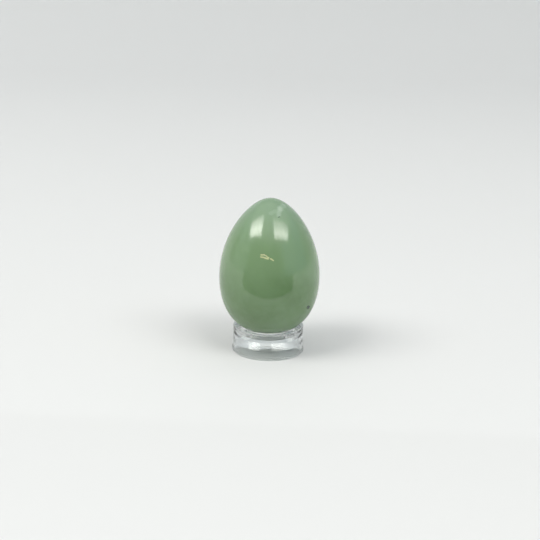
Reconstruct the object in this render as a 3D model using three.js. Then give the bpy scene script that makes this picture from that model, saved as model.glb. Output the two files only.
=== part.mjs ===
// Polished stone egg resting in a clear acrylic ring stand.
// Millimetres, +Z up. The origin is the middle of the ring's underside.
import * as THREE from 'three';

// Stone egg: a solid turned and polished from one piece, blunt end down.
const EGG_LENGTH = 48.4;
const EGG_WIDTH = 35.1;
// How the outline leaves an ellipse: narrower towards the tip, and how full and how pointed it is.
const EGG_TAPER = 0.158;
const EGG_FULLNESS = 0.012;
const EGG_POINT = 0.094;

// Ring stand: one moulded piece of clear acrylic.
const RING_WIDTH = 24.7;
const RING_HEIGHT = 9.3;
const RIM_ROUND = 0.3;

// Foot: a low lip that stands out round the bottom of the ring's wall.
const FOOT_LIP = 0.35;
const FOOT_HEIGHT = 0.9;
const FOOT_ROUND = 0.25;
const FOOT_UNDER_ROUND = 0.44;

// Seat: the rounded inner top edge that the egg lies on, and the wall's thickness there.
const SEAT_WALL = 2.35;
const SEAT_ROUND = 0.4;

// Waist: the thickest part of the wall, inside and below the seat, where the opening is narrowest.
const WAIST_WALL = 3.35;
const WAIST_DEPTH = 2.7;
const WAIST_ROUND = 0.3;

// Collar: the underside of the waist, where the wall gets thinner quickly.
const COLLAR_WALL = 2.65;
const COLLAR_DROP = 0.9;
const COLLAR_ROUND = 0.3;

// Bore: from the collar the opening widens like a bell, at first quickly and then slowly.
const BELL_WALL = 1.5;
const BELL_HEIGHT = 3;
const BELL_ROUND = 1.5;
const BORE_WALL = 0.85;
const BORE_FOOT_ROUND = 0.1;

// Clearance between the egg and the rounded seat that it rests on.
const SEAT_CLEARANCE = 0.1;

// Facets.
const TURN_SEGMENTS = 72;
const EGG_STEPS = 32;
const ROUND_STEPS = 3;

const QUARTER_TURN = Math.PI / 2;
const HALF_TURN = Math.PI;
const FULL_TURN = 2 * Math.PI;

// Half-width of the egg before it is scaled, for u from -1 at the blunt end to 1 at the tip.
function eggShape(u) {
  const ellipse = Math.sqrt(Math.max(0, 1 - u * u));
  return ellipse * (1 - EGG_TAPER * u + EGG_FULLNESS * u * u - EGG_POINT * u * u * u);
}

// The egg's outline from the blunt end to the tip, with its lowest point at height 0.
function eggOutline() {
  const shapes = [];
  for (let i = 0; i <= EGG_STEPS; i += 1) {
    const u = -Math.cos((HALF_TURN * i) / EGG_STEPS);
    shapes.push({ u, halfWidth: eggShape(u) });
  }
  const widest = Math.max(...shapes.map((shape) => shape.halfWidth));
  return shapes.map(({ u, halfWidth }) => new THREE.Vector2(
    (EGG_WIDTH / 2) * (halfWidth / widest),
    (EGG_LENGTH / 2) * (1 + u),
  ));
}

// One corner of the ring's section, at a distance inwards from the wall's outside and at a height.
function ringCorner(inset, height, round) {
  return { point: new THREE.Vector2(RING_WIDTH / 2 - inset, height), round };
}

// Corners of the ring's section, going round it: underside, foot, wall, rim, seat, waist and bore.
const waistHeight = RING_HEIGHT - WAIST_DEPTH;
const rimCorner = ringCorner(0, RING_HEIGHT, RIM_ROUND);
const seatCorner = ringCorner(SEAT_WALL, RING_HEIGHT, SEAT_ROUND);
const waistCorner = ringCorner(WAIST_WALL, waistHeight, WAIST_ROUND);
const ringCorners = [
  ringCorner(BORE_WALL, 0, BORE_FOOT_ROUND),
  ringCorner(-FOOT_LIP, 0, FOOT_UNDER_ROUND),
  ringCorner(-FOOT_LIP, FOOT_HEIGHT, FOOT_ROUND),
  ringCorner(0, FOOT_HEIGHT, 0),
  rimCorner,
  seatCorner,
  waistCorner,
  ringCorner(COLLAR_WALL, waistHeight - COLLAR_DROP, COLLAR_ROUND),
  ringCorner(BELL_WALL, BELL_HEIGHT, BELL_ROUND),
];

// The round of a corner: its centre, and the points where it leaves the straight sides.
function cornerRound(before, corner, after) {
  const back = before.point.clone().sub(corner.point).normalize();
  const onward = after.point.clone().sub(corner.point).normalize();
  const halfAngle = Math.acos(back.dot(onward)) / 2;
  const inward = back.clone().add(onward).normalize();
  const reach = corner.round / Math.sin(halfAngle);
  const run = corner.round / Math.tan(halfAngle);
  return {
    centre: corner.point.clone().addScaledVector(inward, reach),
    start: corner.point.clone().addScaledVector(back, run),
    end: corner.point.clone().addScaledVector(onward, run),
  };
}

// Points along a corner's round, taking the short way about its centre.
function cornerPoints(before, corner, after) {
  if (corner.round === 0) {
    return [corner.point.clone()];
  }
  const { centre, start, end } = cornerRound(before, corner, after);
  const startAngle = start.clone().sub(centre).angle();
  let sweep = end.clone().sub(centre).angle() - startAngle;
  if (sweep > HALF_TURN) {
    sweep -= FULL_TURN;
  }
  if (sweep < -HALF_TURN) {
    sweep += FULL_TURN;
  }
  const points = [];
  for (let i = 0; i <= ROUND_STEPS; i += 1) {
    const angle = startAngle + (sweep * i) / ROUND_STEPS;
    points.push(new THREE.Vector2(
      centre.x + corner.round * Math.cos(angle),
      centre.y + corner.round * Math.sin(angle),
    ));
  }
  return points;
}

// Height of the egg's lowest point when the egg lies on the seat, the clearance away from it.
function restingHeight(outline) {
  const seatCentre = cornerRound(rimCorner, seatCorner, waistCorner).centre;
  const reach = SEAT_ROUND + SEAT_CLEARANCE;
  let height = -Infinity;
  for (let i = 1; i < outline.length; i += 1) {
    const lower = outline[i - 1];
    const upper = outline[i];
    const length = lower.distanceTo(upper);
    const along = upper.clone().sub(lower).divideScalar(length);
    // The seat's centre lies below and outside this stretch, at its reach along the stretch's normal.
    const touchX = seatCentre.x - reach * along.y;
    const share = (touchX - lower.x) / (upper.x - lower.x);
    if (share >= 0 && share <= 1) {
      const touchY = lower.y + (upper.y - lower.y) * share;
      height = Math.max(height, seatCentre.y + reach * along.x - touchY);
    }
    // Or the seat meets the corner between two stretches.
    const across = lower.x - seatCentre.x;
    if (Math.abs(across) < reach) {
      const up = Math.sqrt(reach * reach - across * across);
      height = Math.max(height, seatCentre.y + up - lower.y);
    }
  }
  return height;
}

function makeEgg() {
  const outline = eggOutline();
  const geometry = new THREE.LatheGeometry(outline, TURN_SEGMENTS);
  // A lathe turns about Y, so the egg is stood up along Z.
  geometry.rotateX(QUARTER_TURN);
  const material = new THREE.MeshStandardMaterial({
    color: 0x7a9a72, roughness: 0.12, metalness: 0,
  });
  const egg = new THREE.Mesh(geometry, material);
  egg.name = 'stone_egg';
  egg.position.z = restingHeight(outline);
  return egg;
}

function makeRing() {
  const section = ringCorners.flatMap((corner, i) => {
    const before = ringCorners.at(i - 1);
    const after = ringCorners[(i + 1) % ringCorners.length];
    return cornerPoints(before, corner, after);
  });
  section.push(section[0].clone());
  const geometry = new THREE.LatheGeometry(section, TURN_SEGMENTS);
  geometry.rotateX(QUARTER_TURN);
  const material = new THREE.MeshStandardMaterial({
    color: 0xe8eeee, roughness: 0.05, metalness: 0, transparent: true, opacity: 0.35,
  });
  const ring = new THREE.Mesh(geometry, material);
  ring.name = 'ring_stand';
  return ring;
}

const group = new THREE.Group();
group.add(makeRing());
group.add(makeEgg());

export default group;
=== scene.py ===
import math

import bpy
from mathutils import Matrix, Vector


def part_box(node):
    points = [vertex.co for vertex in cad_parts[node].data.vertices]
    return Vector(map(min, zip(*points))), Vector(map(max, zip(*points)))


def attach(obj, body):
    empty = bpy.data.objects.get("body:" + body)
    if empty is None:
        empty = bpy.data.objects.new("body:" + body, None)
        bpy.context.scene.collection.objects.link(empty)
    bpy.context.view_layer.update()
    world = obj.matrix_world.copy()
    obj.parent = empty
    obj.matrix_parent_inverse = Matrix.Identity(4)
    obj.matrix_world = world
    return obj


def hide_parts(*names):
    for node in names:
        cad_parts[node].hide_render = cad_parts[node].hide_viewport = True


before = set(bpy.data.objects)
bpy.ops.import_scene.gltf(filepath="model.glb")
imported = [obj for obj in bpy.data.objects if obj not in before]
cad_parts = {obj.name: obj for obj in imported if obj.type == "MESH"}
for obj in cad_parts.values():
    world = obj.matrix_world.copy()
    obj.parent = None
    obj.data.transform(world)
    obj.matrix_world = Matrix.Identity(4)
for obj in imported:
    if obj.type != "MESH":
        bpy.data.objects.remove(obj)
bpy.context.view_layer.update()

# Polished green stone egg that lies blunt end down in a low clear ring stand.
scene = bpy.context.scene

# Shared helpers: turned solids, shader nodes and the surroundings that only stage the picture.
MM = 0.001
SHARP_ANGLE = math.radians(25)


def turned(name, section, steps, closed):
    """A mesh turned about the upright axis from (radius, height) points; a point on the axis stays one."""
    places = []
    rings = []
    for point in section:
        count = steps if point.x > 0 else 1
        rings.append([len(places) + k for k in range(count)])
        for k in range(count):
            angle = 2 * math.pi * k / steps
            places.append((point.x * math.cos(angle), point.x * math.sin(angle), point.y))
    faces = []
    for place, ring in enumerate(rings if closed else rings[:-1]):
        above = rings[(place + 1) % len(rings)]
        for k in range(steps):
            corners = [ring[k % len(ring)], ring[(k + 1) % len(ring)],
                       above[(k + 1) % len(above)], above[k % len(above)]]
            faces.append(list(dict.fromkeys(corners)))
    mesh = bpy.data.meshes.new(name)
    mesh.from_pydata(places, [], faces)
    mesh.polygons.foreach_set("use_smooth", [True] * len(mesh.polygons))
    mesh.set_sharp_from_angle(angle=SHARP_ANGLE)
    made = bpy.data.objects.new(name, mesh)
    scene.collection.objects.link(made)
    return made


def node(tree, kind, inputs=None, **settings):
    """A shader node with its inputs set, or linked where a socket is given."""
    made = tree.nodes.new("ShaderNode" + kind)
    for key, value in settings.items():
        setattr(made, key, value)
    for key, value in (inputs or {}).items():
        if isinstance(value, bpy.types.NodeSocket):
            tree.links.new(value, made.inputs[key])
        else:
            made.inputs[key].default_value = value
    return made


def blend(tree, share, first, second):
    """The colour between two, at a share that is a number or a socket."""
    made = tree.nodes.new("ShaderNodeMix")
    made.data_type = "RGBA"
    for socket, value in ((0, share), (6, first), (7, second)):
        if isinstance(value, bpy.types.NodeSocket):
            tree.links.new(value, made.inputs[socket])
        else:
            made.inputs[socket].default_value = value
    return made.outputs[2]


def between(tree, value, start, end, top=1.0, kind="SMOOTHSTEP"):
    """How far a value has gone from start to end, as a share that rises from 0 to top."""
    return node(tree, "MapRange", {
        "Value": value, "From Min": start, "From Max": end, "To Min": 0.0, "To Max": top,
    }, interpolation_type=kind).outputs[0]


def ramp(tree, share, stops, kind="LINEAR"):
    """The colour at a share, from (share, colour) stops in rising order."""
    made = node(tree, "ValToRGB", {"Fac": share})
    elements = made.color_ramp.elements
    while len(elements) < len(stops):
        elements.new(0.5)
    for element, (position, colour) in zip(elements, stops):
        element.position = position
        element.color = colour
    made.color_ramp.interpolation = kind
    return made.outputs["Color"]


def matt(name, colour, roughness):
    """A plain opaque material."""
    material = bpy.data.materials.new(name)
    material.use_nodes = True
    surface = material.node_tree.nodes["Principled BSDF"]
    surface.inputs["Base Color"].default_value = colour
    surface.inputs["Roughness"].default_value = roughness
    return material


def stage_mesh(name, places, faces, material):
    """A mesh that belongs to the surroundings and isn't a part of the object."""
    mesh = bpy.data.meshes.new(name)
    mesh.from_pydata(places, [], faces)
    mesh.materials.append(material)
    made = bpy.data.objects.new(name, mesh)
    scene.collection.objects.link(made)
    return made


# Ring stand: one piece of clear acrylic, moulded and open through the middle. The egg lies on the
# rounded inner edge of its rim. Below that the wall is thickest, then the opening widens like a bell
# to the foot, which has a low lip. Its faces are slightly wavy, as they come from the mould.
ring_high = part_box("ring_stand")[1]
FOOT_RADIUS = ring_high[0]
RING_HEIGHT = ring_high[2]
FOOT_LIP = 0.35 * MM
FOOT_HEIGHT = 0.9 * MM
WALL_RADIUS = FOOT_RADIUS - FOOT_LIP
SEAT_RADIUS = WALL_RADIUS - 2.35 * MM
WAIST_RADIUS = WALL_RADIUS - 3.35 * MM
WAIST_HEIGHT = RING_HEIGHT - 2.7 * MM
COLLAR_RADIUS = WALL_RADIUS - 2.65 * MM
COLLAR_HEIGHT = WAIST_HEIGHT - 0.9 * MM
BELL_RADIUS = WALL_RADIUS - 1.5 * MM
BELL_HEIGHT = 3.0 * MM
BORE_RADIUS = WALL_RADIUS - 0.85 * MM
# Corners of the ring's section, as distance from the axis, height and round.
RING_CORNERS = [
    (BORE_RADIUS, 0, 0.1 * MM),
    (FOOT_RADIUS, 0, 0.44 * MM),
    (FOOT_RADIUS, FOOT_HEIGHT, 0.25 * MM),
    (WALL_RADIUS, FOOT_HEIGHT, 0),
    (WALL_RADIUS, RING_HEIGHT, 0.3 * MM),
    (SEAT_RADIUS, RING_HEIGHT, 0.4 * MM),
    (WAIST_RADIUS, WAIST_HEIGHT, 0.3 * MM),
    (COLLAR_RADIUS, COLLAR_HEIGHT, 0.3 * MM),
    (BELL_RADIUS, BELL_HEIGHT, 1.5 * MM),
]
ROUND_STEPS = 8
RING_STEPS = 288

ACRYLIC_COLOUR = (0.945, 0.967, 0.967, 1)
ACRYLIC_IOR = 1.49
ACRYLIC_ROUGHNESS = 0.05
WAVE_SIZE = 3.2 * MM
WAVE_DEPTH = 0.08 * MM
LIGHT_LET_THROUGH = 0.4


def rounded_section(corners):
    """The outline through (radius, height, round) corners, each rounded by an arc."""
    points = []
    for place, (radius, height, rounding) in enumerate(corners):
        corner = Vector((radius, height))
        if rounding == 0:
            points.append(corner)
            continue
        back = (Vector(corners[place - 1][:2]) - corner).normalized()
        onward = (Vector(corners[(place + 1) % len(corners)][:2]) - corner).normalized()
        half = back.angle(onward) / 2
        centre = corner + (back + onward).normalized() * rounding / math.sin(half)
        start = corner + back * rounding / math.tan(half) - centre
        end = corner + onward * rounding / math.tan(half) - centre
        first = math.atan2(start.y, start.x)
        sweep = (math.atan2(end.y, end.x) - first + math.pi) % (2 * math.pi) - math.pi
        for step in range(ROUND_STEPS + 1):
            angle = first + sweep * step / ROUND_STEPS
            points.append(centre + Vector((math.cos(angle), math.sin(angle))) * rounding)
    return points


def clear_acrylic():
    """Clear plastic with the slow waves of an unpolished moulding; it lets lamp light through."""
    material = bpy.data.materials.new("clear_acrylic")
    material.use_nodes = True
    tree = material.node_tree
    place = node(tree, "TexCoord").outputs["Object"]
    waves = node(tree, "TexNoise", {"Vector": place, "Scale": 1 / WAVE_SIZE, "Detail": 2.0})
    bump = node(tree, "Bump", {
        "Height": waves.outputs["Fac"], "Distance": WAVE_DEPTH, "Strength": 1.0,
    })
    surface = tree.nodes["Principled BSDF"]
    surface.inputs["Base Color"].default_value = ACRYLIC_COLOUR
    surface.inputs["Roughness"].default_value = ACRYLIC_ROUGHNESS
    surface.inputs["IOR"].default_value = ACRYLIC_IOR
    surface.inputs["Transmission Weight"].default_value = 1.0
    tree.links.new(bump.outputs["Normal"], surface.inputs["Normal"])
    open_way = node(tree, "BsdfTransparent", {"Color": (LIGHT_LET_THROUGH,) * 3 + (1,)})
    lamp_ray = node(tree, "LightPath").outputs["Is Shadow Ray"]
    mix = node(tree, "MixShader", {0: lamp_ray, 1: surface.outputs[0], 2: open_way.outputs[0]})
    tree.links.new(mix.outputs[0], tree.nodes["Material Output"].inputs["Surface"])
    return material


ring = turned("ring_stand_clear", rounded_section(RING_CORNERS), RING_STEPS, closed=True)
ring.data.materials.append(clear_acrylic())
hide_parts("ring_stand")
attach(ring, "stand")

# Stone egg: one solid piece of translucent green stone, ground to shape and polished all over. It
# has soft clouds, one feathery white vein near the tip, a small pale cream mark in front
# and a few dark specks. It lies in the ring by its own weight.
egg_low, egg_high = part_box("stone_egg")
EGG_LENGTH = egg_high[2] - egg_low[2]
EGG_RADIUS = egg_high[0]
EGG_TAPER = 0.158
EGG_FULLNESS = 0.012
EGG_POINT = 0.094
EGG_LEVELS = 128
EGG_STEPS = 192

STONE_DEEP = (0.123, 0.216, 0.09, 1)
STONE_MIDDLE = (0.141, 0.242, 0.107, 1)
STONE_PALE = (0.17, 0.278, 0.138, 1)
STONE_ROUGHNESS = 0.13
STONE_IOR = 1.66
CLOUD_SIZE = 14 * MM
CLOUD_STOPS = [(0.3, STONE_DEEP), (0.5, STONE_MIDDLE), (0.72, STONE_PALE)]
MOTTLE_SIZE = 2.6 * MM
MOTTLE_RANGE = (0.45, 0.7)
MOTTLE_COVER = 0.35
SCATTER_WEIGHT = 0.35
SCATTER_REACH = 1.5 * MM
SCATTER_RATIOS = (0.8, 1.0, 0.6)
VEIN_COLOUR = (0.43, 0.55, 0.44, 1)
FLECK_COLOUR = (0.6, 0.62, 0.36, 1)
SPECK_COLOUR = (0.004, 0.045, 0.015, 1)
FRAY_SCALE = 1100.0
STROKE_CORE = 0.35
# Painted light: the stone is made lighter in its upper half, where light from overhead falls, and it
# is bluer at its tip: colour, how much of it, and the heights between which it comes in.
TOP_PAINTED_LIGHT_COLOUR = (0.224, 0.341, 0.19, 1)
TOP_PAINTED_LIGHT_COVER = 0.75
TOP_PAINTED_LIGHT_HEIGHTS = (24 * MM, 37 * MM)
TIP_COLOUR = (0.25, 0.368, 0.277, 1)
TIP_COVER = 0.5
TIP_HEIGHTS = (39 * MM, 54 * MM)
# Marks in the stone, as strokes between two places: angle round the egg from the front, in degrees
# and towards its right, and height above the floor. Then the stroke's width, how far it frays, and
# how much of the stone it covers.
VEIN_STROKES = [
    ((61, 53.0 * MM), (32, 52.5 * MM), 1.4 * MM, 1.3 * MM, 0.4),
    ((32, 52.5 * MM), (19, 50.7 * MM), 1.1 * MM, 0.9 * MM, 0.4),
    ((28, 52.1 * MM), (-1, 51.3 * MM), 1.0 * MM, 1.6 * MM, 0.2),
]
FLECK_STROKES = [
    ((-11, 38.9 * MM), (-7, 39.0 * MM), 0.3 * MM, 0.5 * MM, 0.9),
    ((-7, 39.0 * MM), (-1, 38.1 * MM), 0.3 * MM, 0.5 * MM, 0.9),
    ((-11, 38.3 * MM), (-2, 37.8 * MM), 0.38 * MM, 0.5 * MM, 0.9),
    ((1, 37.8 * MM), (4.5, 37.3 * MM), 0.32 * MM, 0.4 * MM, 0.9),
]
SPECK_STROKES = [
    ((54, 19.1 * MM), (57, 18.7 * MM), 0.95 * MM, 0.6 * MM, 1.0),
    ((18, 50.2 * MM), (21.5, 50.3 * MM), 0.3 * MM, 0.1 * MM, 0.6),
]


def egg_shape(along):
    """Half-width before scaling, for along from -1 at the blunt end to 1 at the tip."""
    ellipse = math.sqrt(max(0.0, 1 - along * along))
    return ellipse * (1 - EGG_TAPER * along + EGG_FULLNESS * along ** 2 - EGG_POINT * along ** 3)


def egg_outline():
    """The egg's (radius, height) points from its lowest point to its tip."""
    steps = [-math.cos(math.pi * k / EGG_LEVELS) for k in range(EGG_LEVELS + 1)]
    shapes = [egg_shape(along) for along in steps]
    widest = max(shapes)
    return [
        Vector((EGG_RADIUS * shape / widest, egg_low[2] + EGG_LENGTH / 2 * (1 + along)))
        for along, shape in zip(steps, shapes)
    ]


def on_egg(angle, height):
    """The point of the egg's surface at an angle from the front and a height above the floor."""
    outline = egg_outline()
    upper = next(k for k, point in enumerate(outline) if point.y >= height)
    below, above = outline[upper - 1], outline[upper]
    share = (height - below.y) / (above.y - below.y)
    radius = below.x + (above.x - below.x) * share
    turn = math.radians(angle)
    return Vector((radius * math.sin(turn), -radius * math.cos(turn), height))


def stroke_group():
    """Node group: how far a place lies inside a stroke between two points, with a frayed edge."""
    group = bpy.data.node_groups.new("stone_stroke", "ShaderNodeTree")
    vector = "NodeSocketVector"
    number = "NodeSocketFloat"
    for name, kind in (("Place", vector), ("Start", vector), ("End", vector),
                       ("Width", number), ("Fray", number)):
        group.interface.new_socket(name, in_out="INPUT", socket_type=kind)
    group.interface.new_socket("Mask", in_out="OUTPUT", socket_type=number)
    inputs = group.nodes.new("NodeGroupInput").outputs
    outputs = group.nodes.new("NodeGroupOutput").inputs

    def vector_step(operation, first, second=None, scale=None):
        made = node(group, "VectorMath", {0: first}, operation=operation)
        if second is not None:
            group.links.new(second, made.inputs[1])
        if scale is not None:
            group.links.new(scale, made.inputs["Scale"])
        return made.outputs["Value" if operation in ("DOT_PRODUCT", "LENGTH") else "Vector"]

    def ratio(first, second):
        return node(group, "Math", {0: first, 1: second}, operation="DIVIDE", use_clamp=True).outputs[0]

    frays = node(group, "TexNoise", {"Vector": inputs["Place"], "Scale": FRAY_SCALE, "Detail": 3.0})
    centred = node(group, "VectorMath", {0: frays.outputs["Color"], 1: (0.5, 0.5, 0.5)},
                   operation="SUBTRACT").outputs["Vector"]
    moved = vector_step("ADD", inputs["Place"], vector_step("SCALE", centred, scale=inputs["Fray"]))
    across = vector_step("SUBTRACT", moved, inputs["Start"])
    run = vector_step("SUBTRACT", inputs["End"], inputs["Start"])
    share = ratio(vector_step("DOT_PRODUCT", across, run), vector_step("DOT_PRODUCT", run, run))
    beside = vector_step("SUBTRACT", across, vector_step("SCALE", run, scale=share))
    nearness = ratio(vector_step("LENGTH", beside), inputs["Width"])
    mask = node(group, "MapRange", {
        "Value": nearness, "From Min": STROKE_CORE, "From Max": 1.0, "To Min": 1.0, "To Max": 0.0,
    }, interpolation_type="SMOOTHSTEP")
    group.links.new(mask.outputs[0], outputs["Mask"])
    return group


def green_stone():
    """Polished stone: slow clouds, fine mottling, painted light that makes the upper half lighter, bluer
    tip, and the marks.
    """
    material = bpy.data.materials.new("green_stone")
    material.use_nodes = True
    tree = material.node_tree
    place = node(tree, "TexCoord").outputs["Object"]

    clouds = node(tree, "TexNoise", {
        "Vector": place, "Scale": 1 / CLOUD_SIZE, "Detail": 3.0, "Roughness": 0.55, "Distortion": 0.6,
    }).outputs["Fac"]
    mottle = node(tree, "TexNoise", {
        "Vector": place, "Scale": 1 / MOTTLE_SIZE, "Detail": 4.0, "Roughness": 0.6,
    }).outputs["Fac"]
    mottled = between(tree, mottle, *MOTTLE_RANGE, MOTTLE_COVER, "LINEAR")
    colour = blend(tree, mottled, ramp(tree, clouds, CLOUD_STOPS), STONE_PALE)
    height = node(tree, "SeparateXYZ", {0: place}).outputs["Z"]
    # Painted light: the upper half is made lighter where light from overhead falls; the tip is made bluer.
    for heights, layer_colour, cover in (
        (TOP_PAINTED_LIGHT_HEIGHTS, TOP_PAINTED_LIGHT_COLOUR, TOP_PAINTED_LIGHT_COVER),
        (TIP_HEIGHTS, TIP_COLOUR, TIP_COVER),
    ):
        colour = blend(tree, between(tree, height, *heights, cover), colour, layer_colour)

    group = stroke_group()
    for strokes, stroke_colour in (
        (VEIN_STROKES, VEIN_COLOUR), (FLECK_STROKES, FLECK_COLOUR), (SPECK_STROKES, SPECK_COLOUR),
    ):
        for start, end, width, fray, cover in strokes:
            stroke = tree.nodes.new("ShaderNodeGroup")
            stroke.node_tree = group
            tree.links.new(place, stroke.inputs["Place"])
            stroke.inputs["Start"].default_value = on_egg(*start)
            stroke.inputs["End"].default_value = on_egg(*end)
            stroke.inputs["Width"].default_value = width
            stroke.inputs["Fray"].default_value = fray
            share = node(tree, "Math", {0: stroke.outputs["Mask"], 1: cover}, operation="MULTIPLY")
            colour = blend(tree, share.outputs[0], colour, stroke_colour)

    surface = tree.nodes["Principled BSDF"]
    tree.links.new(colour, surface.inputs["Base Color"])
    surface.inputs["Roughness"].default_value = STONE_ROUGHNESS
    surface.inputs["IOR"].default_value = STONE_IOR
    surface.inputs["Subsurface Weight"].default_value = SCATTER_WEIGHT
    surface.inputs["Subsurface Radius"].default_value = SCATTER_RATIOS
    surface.inputs["Subsurface Scale"].default_value = SCATTER_REACH
    return material


egg = turned("stone_egg_polished", egg_outline(), EGG_STEPS, closed=False)
egg.data.materials.append(green_stone())
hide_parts("stone_egg")
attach(egg, "egg")

# Floor: a pale matt sheet that the object stands on. Well behind the object it curves up into an
# upright backdrop.
FLOOR_COLOUR = (0.757, 0.764, 0.779, 1)
FLOOR_ROUGHNESS = 0.7
SHEET_HALF_WIDTH = 12.0
SHEET_FRONT = -12.0
CURVE_START = 0.7
CURVE_RADIUS = 0.6
CURVE_STEPS = 24
BACKDROP_HEIGHT = 2.5

sweep = [(SHEET_FRONT, 0)]
for step in range(CURVE_STEPS + 1):
    angle = math.pi / 2 * step / CURVE_STEPS
    sweep.append((CURVE_START + CURVE_RADIUS * math.sin(angle), CURVE_RADIUS * (1 - math.cos(angle))))
sweep.append((CURVE_START + CURVE_RADIUS, BACKDROP_HEIGHT))
sheet_places = [(side, depth, height) for depth, height in sweep
                for side in (-SHEET_HALF_WIDTH, SHEET_HALF_WIDTH)]
sheet_faces = [(2 * k, 2 * k + 1, 2 * k + 3, 2 * k + 2) for k in range(len(sweep) - 1)]
floor = stage_mesh("floor", sheet_places, sheet_faces, matt("floor_sheet", FLOOR_COLOUR, FLOOR_ROUGHNESS))
floor.data.polygons.foreach_set("use_smooth", [True] * len(floor.data.polygons))

# Dark card: the polished egg in the photograph mirrors something dark in front of it, down to an arc
# low on the egg. The card lies on the floor there, shows only in reflections, and spreads to both
# sides from its near edge as it goes away from the object.
CARD_LIFT = 0.2 * MM
CARD_DISTANCE = 65 * MM
CARD_HALF_WIDTH = 86 * MM
CARD_REACH = 4.0
CARD_SPREAD = math.radians(58)
CARD_TURN = math.radians(-3)
CARD_COLOUR = (0.02, 0.02, 0.02, 1)
CARD_ROUGHNESS = 0.9
card_half_end = CARD_HALF_WIDTH + CARD_REACH * math.tan(CARD_SPREAD)
card_corners = [
    (-CARD_HALF_WIDTH, -CARD_DISTANCE, CARD_LIFT),
    (CARD_HALF_WIDTH, -CARD_DISTANCE, CARD_LIFT),
    (card_half_end, -CARD_DISTANCE - CARD_REACH, CARD_LIFT),
    (-card_half_end, -CARD_DISTANCE - CARD_REACH, CARD_LIFT),
]
card = stage_mesh("dark_card", card_corners, [(0, 1, 2, 3)], matt("dark_card", CARD_COLOUR, CARD_ROUGHNESS))
card.rotation_euler = (0, 0, CARD_TURN)
card.visible_camera = False
card.visible_diffuse = False
card.visible_transmission = False
card.visible_shadow = False

# Lamps: two soft level panels overhead, to the left and to the right, each turned a little about
# the upright axis. Places and sizes are shares of the panels' height.
PANEL_HEIGHT = 1.7
LEFT_PANEL = {"right": -0.845, "front": 0.38, "width": 0.86, "depth": 0.73, "turn": -19.7}
RIGHT_PANEL = {"right": 0.66, "front": 0.58, "width": 0.95, "depth": 0.78, "turn": 13.5}
LEFT_RADIANCE = 8.6
RIGHT_RADIANCE = 7.2
LAMP_COLOUR = (1.0, 0.985, 0.93)
# How bright a panel is from its front edge to its back edge, as (share of its depth, level). Each is
# brightest a little in front of its middle.
LEFT_GLOW = [(0.0, 0.55), (0.18, 0.9), (0.4, 1.0), (0.65, 0.65), (1.0, 0.2)]
RIGHT_GLOW = [(0.0, 0.3), (0.15, 0.7), (0.35, 0.95), (0.65, 0.45), (1.0, 0.08)]


def panel(name, place, radiance, levels):
    """A level rectangle of light overhead, dimmer towards its back and front edges."""
    width = place["width"] * PANEL_HEIGHT
    depth = place["depth"] * PANEL_HEIGHT
    light = bpy.data.lights.new(name, "AREA")
    light.shape = "RECTANGLE"
    light.size = width
    light.size_y = depth
    light.energy = radiance * math.pi * width * depth
    light.color = LAMP_COLOUR
    light.use_nodes = True
    tree = light.node_tree
    across = node(tree, "NewGeometry").outputs["Parametric"]
    forward = node(tree, "SeparateXYZ", {0: across}).outputs["Y"]
    stops = [(share, (level, level, level, 1)) for share, level in levels]
    glow = ramp(tree, forward, stops, "EASE")
    tree.links.new(glow, tree.nodes["Emission"].inputs["Strength"])
    lamp = bpy.data.objects.new(name, light)
    scene.collection.objects.link(lamp)
    lamp.location = (place["right"] * PANEL_HEIGHT, -place["front"] * PANEL_HEIGHT,
                     PANEL_HEIGHT + egg_low[2] + EGG_LENGTH / 2)
    lamp.rotation_euler = (0, 0, math.radians(place["turn"]))


panel("left_panel", LEFT_PANEL, LEFT_RADIANCE, LEFT_GLOW)
panel("right_panel", RIGHT_PANEL, RIGHT_RADIANCE, RIGHT_GLOW)

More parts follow.
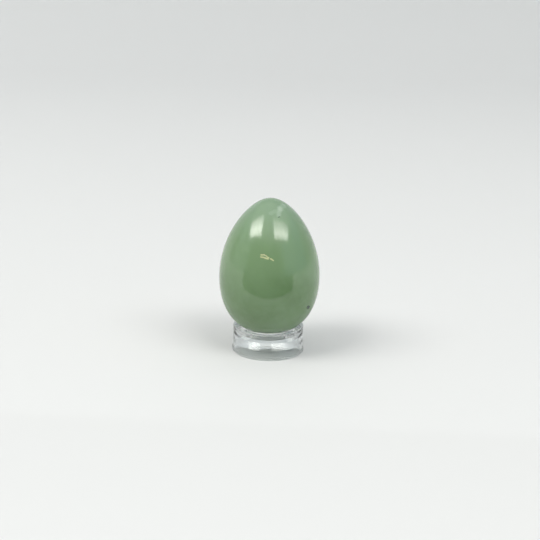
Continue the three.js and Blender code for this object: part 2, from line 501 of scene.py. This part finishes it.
# Room: walls at the sides and behind, paler and greenish on the left and bluish on the right, a pale
# ceiling, and a dark opening in front, where the camera is. Past the backdrop the camera itself sees
# a plain grey.
LEFT_WALL = (0.56, 0.66, 0.62, 1)
RIGHT_WALL = (0.32, 0.46, 0.56, 1)
CEILING = (0.8, 0.79, 0.76, 1)
OPENING = (0.03, 0.03, 0.03, 1)
BEYOND = (0.72, 0.72, 0.71, 1)
OPENING_TURN = math.radians(-11.5)
OPENING_EDGE = (0.58, 0.82)
OPENING_TOP = (0.5, 0.8)
world = bpy.data.worlds.new("room")
world.use_nodes = True
tree = world.node_tree
direction = node(tree, "TexCoord").outputs["Generated"]
parts = node(tree, "SeparateXYZ", {0: direction}).outputs
flat = node(tree, "VectorMath", {0: direction, 1: (1, 1, 0)}, operation="MULTIPLY").outputs[0]
level_direction = node(tree, "VectorMath", {0: flat}, operation="NORMALIZE").outputs[0]
opening_way = (math.sin(OPENING_TURN), -math.cos(OPENING_TURN), 0)
facing = node(tree, "VectorMath", {0: level_direction, 1: opening_way},
              operation="DOT_PRODUCT").outputs["Value"]
in_front = between(tree, facing, *OPENING_EDGE)
overhead = between(tree, parts["Z"], *OPENING_TOP)
rightward = between(tree, parts["X"], -1.0, 1.0, kind="LINEAR")
walls = blend(tree, rightward, LEFT_WALL, RIGHT_WALL)
sides = blend(tree, in_front, walls, OPENING)
surroundings = blend(tree, overhead, sides, CEILING)
seen_directly = node(tree, "LightPath").outputs["Is Camera Ray"]
room = tree.nodes["Background"]
tree.links.new(blend(tree, seen_directly, surroundings, BEYOND), room.inputs["Color"])
scene.world = world

# Camera: above and in front, rolled a little, as the photograph was taken.
CAMERA_DISTANCE = 400 * MM
CAMERA_ELEVATION = math.radians(16.91)
CAMERA_ROLL = math.radians(1.27)
CAMERA_AIM = Vector((0.16, 0, 29.13)) * MM
SENSOR_WIDTH = 36.0
FRAME_PIXELS = 540
FOCAL_PIXELS = 1147
NEAREST_SEEN = 10 * MM
camera_data = bpy.data.cameras.new("camera")
camera_data.sensor_width = SENSOR_WIDTH
camera_data.lens = FOCAL_PIXELS / FRAME_PIXELS * SENSOR_WIDTH
camera_data.clip_start = NEAREST_SEEN
camera = bpy.data.objects.new("camera", camera_data)
scene.collection.objects.link(camera)
back = Vector((0, -math.cos(CAMERA_ELEVATION), math.sin(CAMERA_ELEVATION)))
level_up = Vector((0, math.sin(CAMERA_ELEVATION), math.cos(CAMERA_ELEVATION)))
level_right = Vector((1, 0, 0))
right = level_right * math.cos(CAMERA_ROLL) + level_up * math.sin(CAMERA_ROLL)
up = level_up * math.cos(CAMERA_ROLL) - level_right * math.sin(CAMERA_ROLL)
camera.matrix_world = Matrix.Translation(CAMERA_AIM + back * CAMERA_DISTANCE) @ Matrix(
    (right, up, back)).transposed().to_4x4()
scene.camera = camera
scene.view_settings.view_transform = "Standard"
